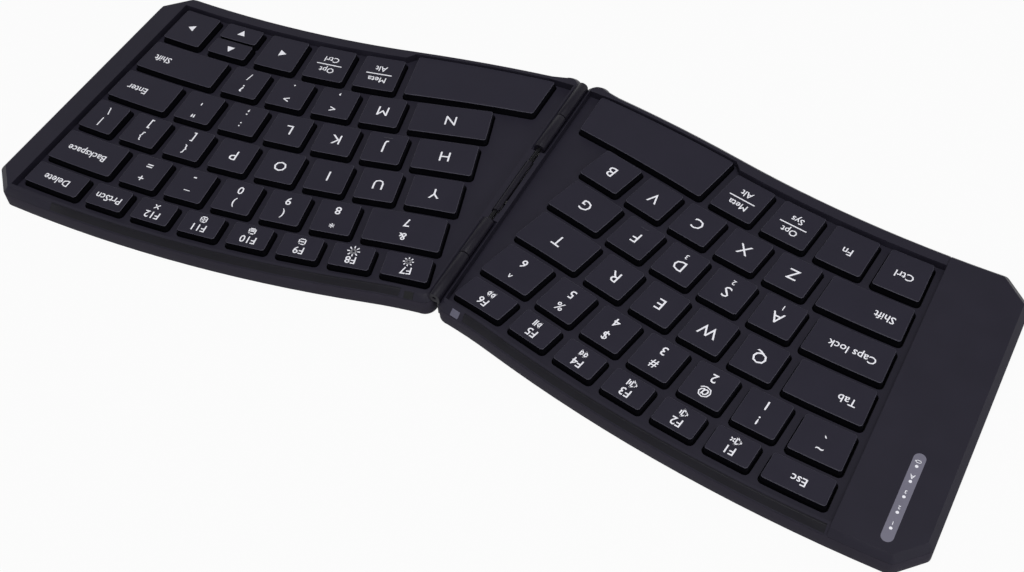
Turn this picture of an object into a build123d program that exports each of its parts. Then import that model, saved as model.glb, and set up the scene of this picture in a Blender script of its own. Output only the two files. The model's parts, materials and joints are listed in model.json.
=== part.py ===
from build123d import *
import os
from math import asin, atan, cos, degrees, radians, sin, sqrt

# Folding keyboard, unfolded and lying on its feet. Millimetres.
# +X points to the user's right, +Y away from the user, +Z up.
# The hinge axis runs along Y at x = 0. Each half is written in its own distance u from the
# hinge axis, so that side = -1 gives the left half and side = +1 the right half.

# ---- Overall ----
half_width = 165.0          # hinge axis to the outer side of a half
back_radius = 522.1         # outer back edge of the shell, an arc like the key rows
arc_inset = 8.3             # outer side of a half to the centre of its arcs
hinge_gap = 1.6             # between the two shells, below the barrel

# The rows and edges leave their arcs and run straighter towards the hinge.
straight_from = 36.0        # distance from the hinge where that begins
hinge_lift = 2.85           # how far it has lifted an edge at the hinge
back_straight_from = 22.0   # the same for the outer back edge
back_lift = 1.95
bulge_from = 62.0           # the same for the front edge, which bulges round the space keys
bulge_lift = 9.1
bulge_end = 13.0            # where the bulge meets the front lobe
lobe_radius = 4.8           # rounded lobe that covers the hinge's front end
lobe_end_angle = 40.0       # where its round leaves for the bulge
lobe_forward = 1.2          # the lobes reach this far beyond the bulge
back_corner_radius = 4.2    # the back corner beside the hinge

back_cut = (8.5, 8.7)       # cut outer corners, across and along
front_cut = (9.5, 9.0)
cut_rounding = 2.5
arc_offset = half_width - arc_inset

# ---- Heights ----
foot_height = 0.5
foot_recess = 0.3
floor_thickness = 1.2
plate_thickness = 0.5
membrane_thickness = 0.4
travel_margin = 0.5         # pressed key to membrane
key_travel = 1.8
cap_height = 3.4
cap_roof = 1.2
deck_drop = 2.5             # key tops to the deck between the keys
deck_thickness = 1.0
rim_rise = 0.4              # rim above the key tops
bevel = 2.0                 # sloping band round the upper frame
seam_height = 0.2
seam_depth = 0.5
fold_clearance = 0.2        # rim top to hinge axis, so folded rims stay twice this apart

shell_bottom = foot_height
floor_top = shell_bottom + floor_thickness
plate_top = floor_top + plate_thickness
membrane_top = plate_top + membrane_thickness
cap_bottom = membrane_top + travel_margin + key_travel
cap_top = cap_bottom + cap_height
deck_top = cap_top - deck_drop
deck_bottom = deck_top - deck_thickness
rim_top = cap_top + rim_rise
seam_z = rim_top - bevel
axis_z = rim_top + fold_clearance

# ---- Shell ----
wall = 1.4
wall_clearance = 0.1
bottom_rounding = 0.7
back_rim = 3.6              # outer edge to the key well
front_rim = 5.6
space_rim = 3.1             # the narrow rim in front of the space keys
side_rim = {-1: 27.4, 1: 9.6}           # the left half's holds battery and board
rail_u = {-1: 3.0, 1: 3.4}  # the rail that borders the well beside the hinge
well_corner_drop = 0.5      # the well's corner behind the lobe, below the bulge's end
strip_wall = 1.4            # between the key well and the left half's side strip
strip_side_wall = 3.0
strip_roof = 1.0
groove_width = 0.35         # the line across the left frame's rims, where its side strip begins
groove_depth = 0.3

well_side = {side: half_width - rim for side, rim in side_rim.items()}
strip_inner_u = well_side[-1] + strip_wall
strip_outer_u = half_width - strip_side_wall
strip_middle_u = (strip_inner_u + strip_outer_u) / 2

trim_start_u = 11.5         # the trim strip let into the back bevel
trim_outer_gap = 28.2       # its outer end to the outer side
trim_width = 2.6
trim_lift = 0.3             # it stands on this much of the frame

pad_u = 8.4                 # small rubber pad on the back bevel
pad_size = (3.1, 2.4)
pad_sink = 0.2
pad_proud = 0.15

# ---- Keys ----
key_pitch = 18.0
key_width = 13.8
key_depth = 13.6
row_pitch = 16.75
function_depth = 9.3
function_pitch = 12.4
bottom_depth = 15.9
bottom_width = 15.4
bottom_pitch = 19.6
arrow_gap = 1.1             # between the half-height Up and Down keys
space_depth = 19.2
space_gap = 0.7             # space key to the narrow rim
space_inner_u = {-1: 7.9, 1: 10.3}
space_straight_from = 45.0
space_lift = 5.0
cap_draft = 0.45            # each side spreads by this towards its lower edge
cap_wall = 0.9
cap_corner = 0.9
cap_edge = 0.3
opening_clearance = 0.8     # key top outline to its opening in the deck
key_gap = key_pitch - key_width
number_inset = 19.9         # back edge of the shell to the number row
well_gap = {-1: 3.2, 1: 2.2}            # outer keys to the well's side
row_to_rim = 1.6            # bottom row to the front rim

number_radius = back_radius - number_inset
bottom_radius = number_radius - 4 * row_pitch
front_radius = bottom_radius - bottom_depth - row_to_rim - front_rim
outer_key_u = {side: well_side[side] - gap for side, gap in well_gap.items()}

# Back edge radius and depth of each row, and how near its last key comes to the hinge
# on each side.
rows = {
    "function": (number_radius + function_pitch, function_depth, {-1: 4.4, 1: 5.5}),
    "number": (number_radius, key_depth, {-1: 6.9, 1: 8.4}),
    "upper": (number_radius - row_pitch, key_depth, {-1: 10.2, 1: 11.7}),
    "home": (number_radius - 2 * row_pitch, key_depth, {-1: 13.4, 1: 15.3}),
    "lower": (number_radius - 3 * row_pitch, key_depth, {-1: 16.7, 1: 18.9}),
}
outer_run = {-1: 22.3, 1: 3.5}          # arc length from the apex to a row's outer end

# Where each row's first standard key starts, and the row's keys from the outside in.
layout = {
    -1: {
        "function": (46.4, ["esc", "f1", "f2", "f3", "f4", "f5", "f6"]),
        "number": (43.3, ["grave", "1", "2", "3", "4", "5", "6"]),
        "upper": (51.7, ["tab", "q", "w", "e", "r", "t"]),
        "home": (52.7, ["caps", "a", "s", "d", "f", "g"]),
        "lower": (54.6, ["left_shift", "z", "x", "c", "v", "b"]),
    },
    1: {
        "function": (29.3, ["delete", "print", "f12", "f11", "f10", "f9", "f8", "f7"]),
        "number": (33.6, ["backspace", "equals", "minus", "0", "9", "8", "7"]),
        "upper": (21.2, ["backslash", "right_bracket", "left_bracket", "p", "o", "i", "u", "y"]),
        "home": (32.0, ["enter", "quote", "semicolon", "l", "k", "j", "h"]),
        "lower": (40.0, ["right_shift", "slash", "period", "comma", "m", "n"]),
    },
}
bottom_layout = {
    -1: ["left_ctrl", "fn", "left_option", "left_alt", "left_space"],
    1: ["right", "up_down", "left", "right_option", "right_alt", "right_space"],
}

# Keys that share a node because a part may have only so many files.
key_groups = {
    "left_function_keys": layout[-1]["function"][1],
    "right_function_keys": layout[1]["function"][1],
    "left_number_keys": layout[-1]["number"][1],
    "right_number_keys": layout[1]["number"][1],
    "left_modifier_keys": ["tab", "caps", "left_shift", "left_ctrl", "fn", "left_option", "left_alt"],
    "right_modifier_keys": ["enter", "right_shift", "right_option", "right_alt"],
    "punctuation_keys": ["backslash", "right_bracket", "left_bracket", "quote", "semicolon",
                         "slash", "period", "comma"],
    "arrow_keys": ["left", "up", "down", "right"],
    "left_lower_letters": ["z", "x", "c", "v", "b"],
    "right_lower_letters": ["m", "n"],
    "left_space_key": ["left_space"],
    "right_space_key": ["right_space"],
}

# ---- Under the keys ----
scissor_margin = 1.8        # key top outline to its scissor frame
scissor_bar = 0.7
scissor_height = 1.4
dome_radius = 2.6
dome_top_share = 0.55       # of the dome's foot radius
dome_height = 2.5
dome_clearance = 0.1
plate_inner_u = 4.8

# ---- Hinge ----
barrel_radius = 1.9
barrel_back_inset = 1.4     # shell's back edge at the hinge to the barrel's end
barrel_front_inset = 4.4    # front of the lobes to the barrel's end
pin_radius = 0.6
pin_clearance = 0.05
pin_inset = 0.8             # the pin ends inside the end knuckles
sleeve_radius = 1.0
sleeve_length = 23.8
bar_clearance = 0.4         # the frame's bars to the pin and the sleeve between them
bar_end_gap = 1.0           # their ends to the knuckles
knuckle_gap = 0.3
back_knuckle = 19.2         # the left half's knuckles are the outer ones
front_knuckle = 17.0
inner_knuckle = 16.0        # the right half's knuckles
web = barrel_radius - hinge_gap / 2     # the leaf's upright, flush with the barrel
leaf_foot = 0.5
leaf_clearance = 0.05
plate_to_leaf = 0.2

# ---- Screws, feet ----
screw_radius = 0.7
screw_head_radius = 1.4
screw_head_height = 0.6
screw_length = 3.2
screw_clearance = 0.1
cross_slot = (1.6, 0.4)
cross_slot_depth = 0.25
boss_radius = 2.0
boss_clearance = 0.3
boss_to_strip = 3.0         # strip walls to its screws
inner_boss_u = 7.2
rim_screw_u = (well_side[1] + half_width - wall) / 2
screw_places = {
    -1: [
        (inner_boss_u, -20.4), (inner_boss_u, 0.6), (strip_outer_u - boss_to_strip, -28.0),
        (strip_inner_u + boss_to_strip, 25.5), (strip_outer_u - boss_to_strip, 25.5),
    ],
    1: [
        (inner_boss_u, -20.4), (inner_boss_u, 0.6), (rim_screw_u, -30.0),
        (rim_screw_u, 10.0), (rim_screw_u, 50.0),
    ],
}
foot_size = (14.0, 5.0)
foot_edge = 9.5             # shell edge to the middle of a foot
foot_us = (23.0, half_width - 15.0)

# ---- Electronics in the side strip ----
battery_size = (19.5, 46.0, 3.6)
battery_rounding = 1.2
battery_y = (screw_places[-1][2][1] + screw_places[-1][3][1]) / 2
board_size = (20.0, 31.0, 0.8)
board_back = 6.7            # back of the shell to the board
board_corner = 6.0          # cut off beside the shell's cut corner
board_posts = [(-7.0, -11.4), (-7.0, 11.6), (7.5, -11.4)]
post_radius = 1.3
chip_size = (5.0, 5.0, 0.6)
chip_place = (-5.3, 2.6)
crystal_size = (2.5, 3.2, 0.6)
crystal_place = (-5.3, -5.4)
window_size = (3.6, 30.9)
window_place = (2.0, 1.95)  # from the middle of the board, as the posts and the chip
window_depth = 0.8
led_size = (1.6, 0.8, 0.6)
led_pitch = 5.45
led_count = 5
socket_size = (7.3, 8.9, 3.2)
socket_inset = 0.2
socket_wall = 0.3
socket_rounding = 1.2
socket_clearance = 0.1
socket_back = 0.8
socket_tongue = (5.0, 6.6, 0.7)
flex_width = 10.0
flex_thickness = 0.2
flex_reach = 12.0
flex_end_u = 0.45           # inner face of its upright, in the gap between the shells
flex_under_sleeve = 0.3

# ---- Places that follow from these ----
inner_u = hinge_gap / 2
lobe_u = inner_u + lobe_radius
lobe_front = (
    sqrt(front_radius**2 - (arc_offset - lobe_u) ** 2)
    + bulge_lift * ((bulge_from - lobe_u) / bulge_from) ** 2 - lobe_forward
)
depth = back_radius - lobe_front        # 131.4, front of the lobes to the back edge
arc_centre_y = depth / 2 - back_radius
front_y = -depth / 2
barrel_back_y = (
    arc_centre_y + sqrt(back_radius**2 - arc_offset**2) + back_lift - barrel_back_inset
)
barrel_front_y = front_y + barrel_front_inset
middle_y = (barrel_back_y + barrel_front_y) / 2
board_u = strip_middle_u
board_y = depth / 2 - board_back - board_size[1] / 2
board_bottom = floor_top + socket_size[2]       # the board stands on the charging socket

os.makedirs("parts", exist_ok=True)


def save(piece, name):
    """Label a finished piece and write it."""
    piece.part.label = name
    export_step(piece.part, f"parts/{name}.step")


# ---------------------------------------------------------------- edges and rows
def lifted(u, start, lift):
    """How far an edge has left its arc at distance u from the hinge."""
    return lift * (max(0.0, start - u) / start) ** 2


def arc_y(radius, u):
    """The plain arc's y at distance u from the hinge."""
    return arc_centre_y + sqrt(radius**2 - (arc_offset - u) ** 2)


def row_y(radius, u):
    return arc_y(radius, u) + lifted(u, straight_from, hinge_lift)


def back_y(inset, u):
    """The outer back edge, or a line that far inside it."""
    return arc_y(back_radius - inset, u) + lifted(u, back_straight_from, back_lift)


def bulge_y(u, inset=0.0):
    return arc_y(front_radius + inset, u) + lifted(u, bulge_from, bulge_lift)


def space_back_y(u):
    return arc_y(bottom_radius, u) + lifted(u, space_straight_from, space_lift)


def space_front_y(u):
    return bulge_y(u, space_rim + space_gap)


def curve(side, edge_y, start_u, end_u):
    """An arc that follows an edge function between two distances from the hinge."""
    middle_u = (start_u + end_u) / 2
    ThreePointArc(
        (side * start_u, edge_y(start_u)),
        (side * middle_u, edge_y(middle_u)),
        (side * end_u, edge_y(end_u)),
    )


def path(side, *points):
    Polyline(*[(side * u, y) for u, y in points])


def back_edge(side, inset, start_u, end_u):
    """The back edge or a line parallel to it, from the outside in."""
    def edge(u):
        return back_y(inset, u)

    if start_u > back_straight_from > end_u:
        curve(side, edge, start_u, back_straight_from)
        curve(side, edge, back_straight_from, end_u)
    else:
        curve(side, edge, start_u, end_u)


def inset_leg(leg, other_leg, inset):
    """Length left of a cut corner's leg when the whole outline moves inwards."""
    return leg + inset * (sqrt(1 + (leg / other_leg) ** 2) - leg / other_leg - 1)


def round_corner(side, centre, radius, start_angle, end_angle):
    """An arc about a point, with angles in degrees from the outward direction."""
    points = []
    for angle in (start_angle, (start_angle + end_angle) / 2, end_angle):
        u = centre[0] + radius * cos(radians(angle))
        points.append((side * u, centre[1] + radius * sin(radians(angle))))
    ThreePointArc(*points)
    return points[0], points[-1]


def half_outline(side, inset=0.0):
    """Plan outline of one half, from the hinge outwards, moved in from its widest."""
    side_u = half_width - inset
    front_cut_u = side_u - inset_leg(front_cut[0], front_cut[1], inset)
    front_cut_y = inset_leg(front_cut[1], front_cut[0], inset)
    back_cut_u = side_u - inset_leg(back_cut[0], back_cut[1], inset)
    back_cut_y = inset_leg(back_cut[1], back_cut[0], inset)
    corner_u = inner_u + back_corner_radius
    corner_y = back_y(inset, corner_u) + inset - back_corner_radius

    def front_edge(u):
        return arc_y(front_radius + inset, u)

    def inset_bulge(u):
        return bulge_y(u, inset)

    with BuildSketch() as outline:
        with BuildLine():
            lobe = (lobe_u, front_y + lobe_radius)
            lobe_start, lobe_end = round_corner(side, lobe, lobe_radius - inset, 180, 270 + lobe_end_angle)
            Line(lobe_end, (side * bulge_end, inset_bulge(bulge_end)))
            curve(side, inset_bulge, bulge_end, bulge_from)
            curve(side, front_edge, bulge_from, front_cut_u)
            path(
                side,
                (front_cut_u, front_edge(front_cut_u)),
                (side_u, front_edge(front_cut_u) + front_cut_y),
                (side_u, back_y(inset, back_cut_u) - back_cut_y),
                (back_cut_u, back_y(inset, back_cut_u)),
            )
            back_edge(side, inset, back_cut_u, corner_u)
            _, corner_end = round_corner(side, (corner_u, corner_y), back_corner_radius - inset, 90, 180)
            Line(corner_end, lobe_start)
        make_face()
        rounding = cut_rounding - inset
        if rounding > 0:
            fillet([v for v in outline.vertices() if abs(v.X) > front_cut_u - 0.1], rounding)
    return outline.sketch


def well_outline(side, well_inner_u):
    """Plan outline of the sunken area that holds the keys, from a distance from the hinge."""
    side_u = well_side[side]
    rim_radius = front_radius + front_rim

    def space_edge(u):
        return bulge_y(u, space_rim)

    def rim_edge(u):
        return arc_y(rim_radius, u)

    step_u = bulge_from + front_rim - space_rim
    corner_y = space_edge(bulge_end) - well_corner_drop
    with BuildSketch() as well:
        with BuildLine():
            path(side, (well_inner_u, corner_y), (bulge_end, space_edge(bulge_end)))
            curve(side, space_edge, bulge_end, bulge_from)
            path(side, (bulge_from, space_edge(bulge_from)), (step_u, rim_edge(step_u)))
            curve(side, rim_edge, step_u, side_u)
            path(side, (side_u, rim_edge(side_u)), (side_u, back_y(back_rim, side_u)))
            back_edge(side, back_rim, side_u, well_inner_u)
            path(
                side,
                (well_inner_u, back_y(back_rim, well_inner_u)),
                (well_inner_u, corner_y),
            )
        make_face()
    return well.sketch


def back_band(side, start_u, end_u, inset):
    """Plan area that covers the back edge's outer band between two distances from the hinge."""
    beyond = -1.0
    with BuildSketch() as band:
        with BuildLine():
            back_edge(side, inset, start_u, end_u)
            back_edge(side, beyond, start_u, end_u)
            for u in (start_u, end_u):
                path(side, (u, back_y(inset, u)), (u, back_y(beyond, u)))
        make_face()
    return band.sketch


# ---------------------------------------------------------------- key outlines
def on_row(radius, angle):
    """A point on a row's arc, by its angle from the apex towards the hinge."""
    u = arc_offset - radius * sin(angle)
    return u, arc_centre_y + radius * cos(angle) + lifted(u, straight_from, hinge_lift)


def straight_key(radius, row_depth, run, width):
    """A rectangular key whose outer end is at an arc length from the apex."""

    def edges(grow):
        angle = (run + width / 2) / radius
        ends = []
        for across in (radius + grow, radius - row_depth - grow):
            edge = []
            for along in (-width / 2 - grow, width / 2 + grow):
                u = arc_offset - across * sin(angle) - along * cos(angle)
                y = arc_centre_y + across * cos(angle) - along * sin(angle)
                edge.append((u, y + lifted(u, straight_from, hinge_lift)))
            ends.append(edge)
        return ends

    return edges


def wide_key(radius, row_depth, run, end_run, outer_u=None):
    """A key that follows the arc, with radial ends or an end along the shell's side."""

    def edges(grow):
        ends = []
        for across in (radius + grow, radius - row_depth - grow):
            start = on_row(across, (run - grow) / radius)
            if outer_u is not None:
                start = (outer_u + grow, row_y(across, outer_u + grow))
            end = on_row(across, (end_run + grow) / radius)
            middle_u = (start[0] + end[0]) / 2
            ends.append([start, (middle_u, row_y(across, middle_u)), end])
        return ends

    return edges


def space_key(run, inner_key_u):
    """A space key, with its front edge along the narrow front rim."""

    def edges(grow):
        angle = (run - grow) / bottom_radius
        ends = []
        for edge_y, across, rise in (
            (space_back_y, bottom_radius, grow),
            (space_front_y, bottom_radius - space_depth, -grow),
        ):
            outer = arc_offset - across * sin(angle)
            middle_u = (outer + inner_key_u) / 2
            places = (outer, middle_u, inner_key_u - grow)
            ends.append([(u, edge_y(u) + rise) for u in places])
        return ends

    return edges


def bottom_row(side):
    """The keys of the bottom row, from the outside in."""
    placed = {}
    run = outer_run[side]
    for name in bottom_layout[side][:-1]:
        end_run = run + bottom_width
        if name == "up_down":
            half_depth = (bottom_depth - arrow_gap) / 2
            front_radius_share = 1 - (half_depth + arrow_gap) / bottom_radius
            placed["up"] = wide_key(bottom_radius, half_depth, run, end_run)
            placed["down"] = wide_key(
                bottom_radius * front_radius_share, half_depth, run * front_radius_share,
                end_run * front_radius_share)
        else:
            outer_u = outer_key_u[side] if name == bottom_layout[side][0] else None
            placed[name] = wide_key(bottom_radius, bottom_depth, run, end_run, outer_u)
        run += bottom_pitch
    placed[bottom_layout[side][-1]] = space_key(run, space_inner_u[side])
    return placed


def place_keys():
    """Every key's side and its edges as a function of how far the outline is grown."""
    placed = {}
    for side in (-1, 1):
        for row, (first_run, names) in layout[side].items():
            radius, row_depth, inner_key_u = rows[row]
            reach = radius * asin((arc_offset - inner_key_u[side]) / radius)
            run = first_run
            outer_key = wide_key(radius, row_depth, outer_run[side], run - key_gap, outer_key_u[side])
            placed[names[0]] = (side, outer_key)
            for name in names[1:-1]:
                placed[name] = (side, straight_key(radius, row_depth, run, key_width))
                run += key_pitch
            placed[names[-1]] = (side, wide_key(radius, row_depth, run, reach))
        for name, edges in bottom_row(side).items():
            placed[name] = (side, edges)
    return placed


keys = place_keys()


def key_outline(name, grow=0.0):
    """Plan outline of a key's top face, grown by a margin."""
    side, edges = keys[name]
    back, front = edges(grow)
    with BuildSketch() as outline:
        with BuildLine():
            for edge in (back, front):
                points = [(side * u, y) for u, y in edge]
                if len(points) == 2:
                    Line(*points)
                else:
                    ThreePointArc(*points)
            path(side, back[0], front[0])
            path(side, back[-1], front[-1])
        make_face()
        fillet(outline.vertices(), cap_corner + grow)
    return outline.sketch


def key_size(name):
    """A key's middle, its size along and across its row, and its turn in degrees."""
    side, edges = keys[name]
    back, front = edges(0.0)
    corners = [Vector(side * u, y) for u, y in (back[0], back[-1], front[-1], front[0])]
    centre = (corners[0] + corners[1] + corners[2] + corners[3]) / 4
    along = corners[0] - corners[1]
    across = corners[1] - corners[2]
    return centre, along.length, across.length, degrees(atan(along.Y / along.X))


# ---------------------------------------------------------------- keycaps
def keycap(name):
    """A hollow cap with spreading sides and a softened top edge."""
    with BuildPart() as cap:
        with BuildSketch(Plane.XY.offset(cap_bottom)):
            add(key_outline(name, cap_draft))
        with BuildSketch(Plane.XY.offset(cap_top)):
            add(key_outline(name))
        loft(ruled=True)
        fillet(cap.faces().sort_by(Axis.Z)[-1].edges(), cap_edge)
        with BuildSketch(Plane.XY.offset(cap_bottom)):
            add(key_outline(name, cap_draft - cap_wall))
        extrude(amount=cap_height - cap_roof, mode=Mode.SUBTRACT)
    return cap.part


def make_keys():
    grouped = [name for names in key_groups.values() for name in names]
    nodes = {f"key_{name}": [name] for name in keys if name not in grouped}
    nodes.update(key_groups)
    for node, names in nodes.items():
        caps = [keycap(name) for name in names]
        with BuildPart() as group:
            add(caps)
        save(group, node)


# ---------------------------------------------------------------- shells
def circles(side, places, radius):
    """Plan circles at places given by their distance from the hinge and y."""
    with BuildSketch() as plan:
        with Locations(*[(side * u, y) for u, y in places]):
            Circle(radius)
    return plan.sketch


def knuckle_spans(side):
    """Start and length along Y of the hinge knuckles that belong to one half."""
    if side < 0:
        return [(barrel_front_y, front_knuckle), (barrel_back_y - back_knuckle, back_knuckle)]
    front_start = barrel_front_y + front_knuckle + knuckle_gap
    back_start = barrel_back_y - back_knuckle - knuckle_gap - inner_knuckle
    return [(front_start, inner_knuckle), (back_start, inner_knuckle)]


def leaf_slots(side, high_u):
    """Room in a shell's inner wall for the hinge leaf, up to a distance from the hinge."""
    low_u = inner_u / 2
    with BuildSketch() as plan:
        for start, length in knuckle_spans(side):
            with Locations((side * (low_u + high_u) / 2, start + length / 2)):
                Rectangle(high_u - low_u, length + 2 * leaf_clearance)
    return plan.sketch


def flex_slot():
    """Room in a shell's inner wall for the flat cable between the halves."""
    with BuildSketch() as plan:
        with Locations((0, middle_y)):
            Rectangle(2 * plate_inner_u, flex_width + 1.0)
    return plan.sketch


def foot_places(side):
    """Middles of a half's four feet, each at the same distance from the nearer edge."""
    places = []
    for u in foot_us:
        places.append((side * u, bulge_y(u) + foot_edge))
        places.append((side * u, back_y(0.0, u) - foot_edge))
    return places


def on_board(place):
    """Plan place of something on the board, given from the board's middle outwards."""
    return -(board_u + place[0]), board_y + place[1]


def rounded_block(side):
    """The lower shell's outer form, with softened bottom edges."""
    softening = bottom_rounding * (1 - sqrt(0.5))
    with BuildPart() as block:
        for rise, inset in ((0.0, bottom_rounding), (softening, softening), (bottom_rounding, 0.0)):
            with BuildSketch(Plane.XY.offset(shell_bottom + rise)):
                add(half_outline(side, inset))
        loft(ruled=True)
        with BuildSketch(Plane.XY.offset(shell_bottom + bottom_rounding)):
            add(half_outline(side))
        extrude(amount=seam_z - shell_bottom - bottom_rounding)
    return block.part


def bottom_cover(side):
    with BuildPart() as cover:
        add(rounded_block(side))
        with BuildSketch(Plane.XY.offset(floor_top)):
            add(half_outline(side, wall))
        extrude(amount=seam_z - floor_top, mode=Mode.SUBTRACT)
        with BuildSketch(Plane.XY.offset(seam_z - seam_height)):
            add(half_outline(side))
            add(half_outline(side, seam_depth), mode=Mode.SUBTRACT)
        extrude(amount=seam_height, mode=Mode.SUBTRACT)
        if side < 0:
            with BuildSketch(Plane.XY.offset(floor_top)):
                with Locations(*[on_board(place) for place in board_posts]):
                    Circle(post_radius)
            extrude(amount=board_bottom - floor_top)
            with BuildSketch(Plane.YZ.offset(-half_width)):
                with Locations((board_y, floor_top + socket_size[2] / 2)):
                    RectangleRounded(socket_size[1] + 2 * socket_clearance,
                                     socket_size[2] + 2 * socket_clearance, socket_rounding)
            extrude(amount=2 * wall, mode=Mode.SUBTRACT)
        with BuildSketch(Plane.XY.offset(shell_bottom)):
            add(circles(side, screw_places[side], screw_radius + screw_clearance))
        extrude(amount=floor_thickness, mode=Mode.SUBTRACT)
        with BuildSketch(Plane.XY.offset(shell_bottom)):
            add(circles(side, screw_places[side], screw_head_radius + screw_clearance))
        extrude(amount=screw_head_height, mode=Mode.SUBTRACT)
        with BuildSketch(Plane.XY.offset(shell_bottom)):
            with Locations(*foot_places(side)):
                SlotOverall(*foot_size)
        extrude(amount=foot_recess, mode=Mode.SUBTRACT)
        with BuildSketch(Plane.XY.offset(floor_top)):
            add(leaf_slots(side, inner_u + wall + wall_clearance))
        extrude(amount=seam_z - floor_top, mode=Mode.SUBTRACT)
        with BuildSketch(Plane.XY.offset(membrane_top)):
            add(flex_slot())
        extrude(amount=seam_z - membrane_top, mode=Mode.SUBTRACT)
    return cover


def beveled_ring(side):
    """The upper frame's body above the seam, with its sloping outer band."""
    with BuildPart() as ring:
        with BuildSketch(Plane.XY.offset(seam_z)):
            add(half_outline(side))
        with BuildSketch(Plane.XY.offset(rim_top)):
            add(half_outline(side, bevel))
        loft(ruled=True)
    return ring.part


def boss_reach(side):
    """Heights up to which the screw bosses stand, with their places."""
    strip_places = [place for place in screw_places[side] if side < 0 and place[0] > well_side[side]]
    other_places = [place for place in screw_places[side] if place not in strip_places]
    reaches = [(deck_bottom, other_places)]
    if strip_places:
        reaches.append((rim_top - strip_roof, strip_places))
    return reaches


def pad_plane(side, rise):
    """The plane of the small pad, on the slope of the back bevel and raised from it."""
    half_length = pad_size[0] / 2
    edge_rise = back_y(bevel / 2, pad_u + half_length) - back_y(bevel / 2, pad_u - half_length)
    along = Vector(side * pad_size[0], edge_rise, 0).normalized() * side
    outward = Vector(-along.Y, along.X, 1).normalized()
    middle = Vector(side * pad_u, back_y(bevel / 2, pad_u), rim_top - bevel / 2)
    return Plane(origin=middle + outward * rise, x_dir=along, z_dir=outward)


def hinge_bar(side):
    """Plan of the frame's bar between the knuckles, set back beside the sleeve."""
    inner_ends = [start if start > middle_y else start + length for start, length in knuckle_spans(1)]
    bar_middle_y = (inner_ends[0] + inner_ends[1]) / 2
    bar_length = inner_ends[1] - inner_ends[0] - 2 * bar_end_gap
    bar_u = pin_radius + bar_clearance
    with BuildSketch() as bar:
        with Locations((side * (bar_u + rail_u[side]) / 2, bar_middle_y)):
            Rectangle(rail_u[side] - bar_u, bar_length)
        with Locations((0, middle_y)):
            Rectangle(2 * (sleeve_radius + bar_clearance), sleeve_length + 2 * bar_clearance,
                      mode=Mode.SUBTRACT)
    return bar.sketch


def strip_groove(ring):
    """The shallow groove across the left frame's front and back rims."""
    with BuildPart() as groove:
        with Locations((-well_side[-1], 0, rim_top)):
            Box(groove_width, 2 * depth, 2 * bevel)
        with Locations((0, 0, -groove_depth)):
            add(ring, mode=Mode.SUBTRACT)
    return groove.part


def top_frame(side, ring):
    with BuildPart() as frame:
        add(ring)
        with BuildSketch(Plane.XY.offset(deck_bottom)):
            add(half_outline(side, wall + wall_clearance))
        extrude(amount=seam_z - deck_bottom)
        with BuildSketch(Plane.XY.offset(deck_top)):
            add(well_outline(side, rail_u[side]))
        extrude(amount=rim_top - deck_top, mode=Mode.SUBTRACT)
        with BuildSketch(Plane.XY.offset(deck_bottom)):
            for name, (key_side, _) in keys.items():
                if key_side == side:
                    add(key_outline(name, opening_clearance))
        extrude(amount=deck_thickness, mode=Mode.SUBTRACT)
        with BuildSketch(Plane.XY.offset(seam_z)):
            add(hinge_bar(side))
        extrude(amount=bevel)
        if side < 0:
            add(strip_groove(ring), mode=Mode.SUBTRACT)
            with BuildSketch(Plane.XY.offset(deck_bottom)):
                add(half_outline(side, strip_side_wall))
                Rectangle(2 * strip_inner_u, 2 * depth, mode=Mode.SUBTRACT)
            extrude(amount=rim_top - strip_roof - deck_bottom, mode=Mode.SUBTRACT)
            with BuildSketch(Plane.XY.offset(rim_top - strip_roof)):
                with Locations(on_board(window_place)):
                    SlotOverall(window_size[1], window_size[0], rotation=90)
            extrude(amount=strip_roof, mode=Mode.SUBTRACT)
            with BuildSketch(Plane.XY.offset(deck_bottom)):
                with Locations((-(strip_outer_u + half_width) / 2, board_y)):
                    Rectangle(strip_side_wall, socket_size[1] + 4 * socket_clearance)
            extrude(amount=board_bottom + socket_clearance - deck_bottom, mode=Mode.SUBTRACT)
        for reach, places in boss_reach(side):
            with BuildSketch(Plane.XY.offset(floor_top)):
                add(circles(side, places, boss_radius))
            extrude(amount=reach - floor_top)
        with BuildSketch(Plane.XY.offset(floor_top)):
            add(circles(side, screw_places[side], screw_radius))
        extrude(amount=shell_bottom + screw_length - floor_top, mode=Mode.SUBTRACT)
        with BuildSketch(Plane.XY.offset(deck_bottom)):
            add(leaf_slots(side, inner_u + web + leaf_clearance))
        extrude(amount=rim_top - deck_bottom, mode=Mode.SUBTRACT)
        with BuildSketch(Plane.XY.offset(seam_z + trim_lift)):
            add(back_band(side, half_width - trim_outer_gap, trim_start_u, trim_width))
        extrude(amount=bevel, mode=Mode.SUBTRACT)
        with BuildSketch(pad_plane(side, -pad_sink)):
            Rectangle(*pad_size)
        extrude(amount=bevel, mode=Mode.SUBTRACT)
    return frame


def back_trim(side, ring):
    with BuildPart() as trim:
        add(ring)
        with BuildSketch(Plane.XY.offset(seam_z + trim_lift)):
            add(back_band(side, half_width - trim_outer_gap, trim_start_u, trim_width))
        extrude(amount=bevel, mode=Mode.INTERSECT)
    return trim


# ---------------------------------------------------------------- under the keys
def flat_sheet(side, bottom, thickness):
    """A sheet under the whole key area, with holes round the screw bosses."""
    with BuildPart() as sheet:
        with BuildSketch(Plane.XY.offset(bottom)):
            add(well_outline(side, plate_inner_u))
            add(circles(side, screw_places[side], boss_radius + boss_clearance), mode=Mode.SUBTRACT)
        extrude(amount=thickness)
    return sheet


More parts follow.
